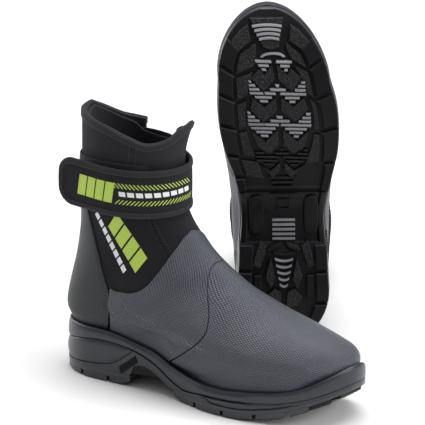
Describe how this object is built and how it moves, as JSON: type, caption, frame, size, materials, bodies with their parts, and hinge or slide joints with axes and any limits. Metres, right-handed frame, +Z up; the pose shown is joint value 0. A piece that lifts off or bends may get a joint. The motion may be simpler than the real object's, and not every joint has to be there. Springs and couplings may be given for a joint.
{
  "type": "neoprene boots",
  "caption": "Ankle-high neoprene water boots with a lugged rubber sole and a hook-and-loop ankle strap; one stands, the other lies on its back.",
  "frame": {"origin": "middle of the outer box of the pair, on the ground", "axes": "-Y faces the viewer, +X is the viewer's right, +Z is up; the standing right boot points its toe to +X and -Y, and the left boot lies heel down with its tread facing -Y"},
  "size_m": [0.2788, 0.4748, 0.3088],
  "materials": {
    "bootie_neoprene": "knit-faced neoprene",
    "stiffener_board": "fibre board",
    "embossed_rubber_skin": "satin, embossed with a small diamond mesh",
    "smooth_rubber": "satin",
    "ankle_neoprene": "knit-faced neoprene",
    "collar_neoprene": "knit-faced neoprene",
    "binding_tape": "woven tape",
    "strap_neoprene": "knit-faced neoprene with printed bars",
    "loop_pile": "pile",
    "hook_pile": "hooks",
    "sole_rubber": "satin",
    "midsole_foam": "satin",
    "tread_rubber": "satin",
    "shank_plastic": "satin",
    "footbed_foam": "knit-covered foam"
  },
  "bodies": {
    "right_boot": {"right_liner": "bootie_neoprene", "right_toe_puff": "stiffener_board", "right_heel_stiffener": "stiffener_board", "right_vamp": "embossed_rubber_skin", "right_quarter": "embossed_rubber_skin", "right_heel_counter": "smooth_rubber", "right_lateral_ankle_panel": "ankle_neoprene", "right_front_ankle_panel": "ankle_neoprene", "right_medial_ankle_panel": "ankle_neoprene", "right_collar": "collar_neoprene", "right_medial_collar_flap": "collar_neoprene", "right_gusset": "ankle_neoprene", "right_collar_binding": "binding_tape", "right_flap_binding": "binding_tape", "right_strap_base": "binding_tape", "right_strap_anchor": "strap_neoprene", "right_loop_patch": "loop_pile", "right_rand_band": "sole_rubber", "right_midsole": "midsole_foam", "right_forefoot_outsole": "tread_rubber", "right_heel_outsole": "tread_rubber", "right_shank": "shank_plastic", "right_insole_board": "stiffener_board", "right_footbed": "footbed_foam", "right_arch_badge": "sole_rubber"},
    "right_strap": {"right_strap_end": "strap_neoprene", "right_strap_edging": "binding_tape", "right_hook_patch": "hook_pile"},
    "left_boot": {"left_liner": "bootie_neoprene", "left_toe_puff": "stiffener_board", "left_heel_stiffener": "stiffener_board", "left_vamp": "embossed_rubber_skin", "left_quarter": "embossed_rubber_skin", "left_heel_counter": "smooth_rubber", "left_lateral_ankle_panel": "ankle_neoprene", "left_front_ankle_panel": "ankle_neoprene", "left_medial_ankle_panel": "ankle_neoprene", "left_collar": "collar_neoprene", "left_medial_collar_flap": "collar_neoprene", "left_gusset": "ankle_neoprene", "left_collar_binding": "binding_tape", "left_flap_binding": "binding_tape", "left_strap_base": "binding_tape", "left_strap_anchor": "strap_neoprene", "left_loop_patch": "loop_pile", "left_rand_band": "sole_rubber", "left_midsole": "midsole_foam", "left_forefoot_outsole": "tread_rubber", "left_heel_outsole": "tread_rubber", "left_shank": "shank_plastic", "left_insole_board": "stiffener_board", "left_footbed": "footbed_foam", "left_arch_badge": "sole_rubber"},
    "left_strap": {"left_strap_end": "strap_neoprene", "left_strap_edging": "binding_tape", "left_hook_patch": "hook_pile"}
  },
  "joints": [
    {"name": "right_strap_opens", "type": "hinge", "parent": "right_boot", "child": "right_strap", "pos_m": [-0.02858, -0.12244, 0.187], "axis": [0, 0, 1], "range_deg": [0, 110]},
    {"name": "left_lift_off", "type": "slide", "parent": "right_boot", "child": "left_boot", "axis": [0, 0, 1], "range_m": [0, 0.35]},
    {"name": "left_strap_opens", "type": "hinge", "parent": "left_boot", "child": "left_strap", "pos_m": [0.06718, 0.17784, 0.11358], "axis": [0.0261, -0.9977, 0.0631], "range_deg": [0, 110]}
  ]
}
